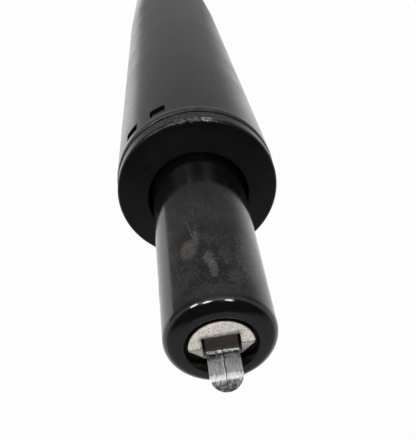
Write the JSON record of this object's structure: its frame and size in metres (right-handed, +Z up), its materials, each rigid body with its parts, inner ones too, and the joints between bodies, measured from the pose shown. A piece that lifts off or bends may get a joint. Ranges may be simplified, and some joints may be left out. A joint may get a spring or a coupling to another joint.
{
  "type": "chair gas lift cylinder",
  "caption": "Upright telescopic column for a swivel chair: a black outer tube, a guide collar and a sliding tapered gas spring with a tilting release lever in its end.",
  "frame": {"origin": "centre of the column's foot", "axes": "+Z up along the column towards the seat taper, +Y the way the release lever is pulled"},
  "size_m": [0.05, 0.05, 0.3162],
  "materials": {
    "column_paint": "satin black powder paint",
    "tube_paint": "gloss black paint, scuffed",
    "bush_plastic": "black acetal, moulded",
    "lever_zinc": "zinc plated, brushed",
    "block_casting": "bare die casting, fine grained",
    "plated_steel": "zinc plated steel",
    "spring_steel": "phosphated spring steel",
    "bearing_steel": "ground bearing steel",
    "cage_brass": "pressed brass",
    "rod_chrome": "hard chrome, polished",
    "inner_steel": "drawn steel, bright",
    "valve_alloy": "machined alloy",
    "guide_polymer": "natural polymer",
    "seal_rubber": "black rubber"
  },
  "bodies": {
    "column": {"outer_column": "column_paint", "guide_bush": "bush_plastic", "base_cup": "plated_steel", "lower_race": "bearing_steel"},
    "bearing_cage": {"ball_cage": "cage_brass", "bearing_balls": "bearing_steel"},
    "rod": {"upper_race": "bearing_steel", "bumper": "seal_rubber", "base_washer": "plated_steel", "retaining_clip": "spring_steel", "piston_rod": "rod_chrome", "piston": "valve_alloy", "piston_seal": "seal_rubber", "piston_band": "guide_polymer", "piston_washer": "plated_steel", "piston_nut": "plated_steel"},
    "gas_cylinder": {"pressure_tube": "tube_paint", "seal_retainer": "plated_steel", "rod_seal": "seal_rubber", "rod_guide": "guide_polymer", "guide_seal": "seal_rubber", "inner_tube": "inner_steel", "valve_body": "valve_alloy", "valve_seals": "seal_rubber", "pin_seals": "seal_rubber", "seal_spacer": "guide_polymer", "valve_cap": "plated_steel", "lever_block": "block_casting", "lever_pivot": "plated_steel"},
    "release_pin": {"release_pin": "plated_steel"},
    "release_lever": {"release_lever": "lever_zinc"}
  },
  "joints": [
    {"name": "seat_swivel", "type": "hinge", "parent": "column", "child": "rod", "pos_m": [0, 0, 0.014], "axis": [0, 0, 1], "continuous": true},
    {"name": "bearing_roll", "type": "hinge", "parent": "column", "child": "bearing_cage", "pos_m": [0, 0, 0.014], "axis": [0, 0, 1], "continuous": true},
    {"name": "height_slide", "type": "slide", "parent": "rod", "child": "gas_cylinder", "axis": [0, 0, 1], "range_m": [0, 0.12]},
    {"name": "lever_tilt", "type": "hinge", "parent": "gas_cylinder", "child": "release_lever", "pos_m": [0, -0.0046, 0.3024], "axis": [-1, 0, 0], "range_deg": [0, 22], "stiffness_Nm_per_rad": 0.0015, "springref_deg": -22.92},
    {"name": "pin_press", "type": "slide", "parent": "gas_cylinder", "child": "release_pin", "axis": [0, 0, -1], "range_m": [0, 0.0016]}
  ],
  "couplings": [
    {"joint": "bearing_roll", "follows": "seat_swivel", "ratio": 0.5},
    {"joint": "lever_tilt", "follows": "pin_press", "rad_per_m": 196.08}
  ]
}
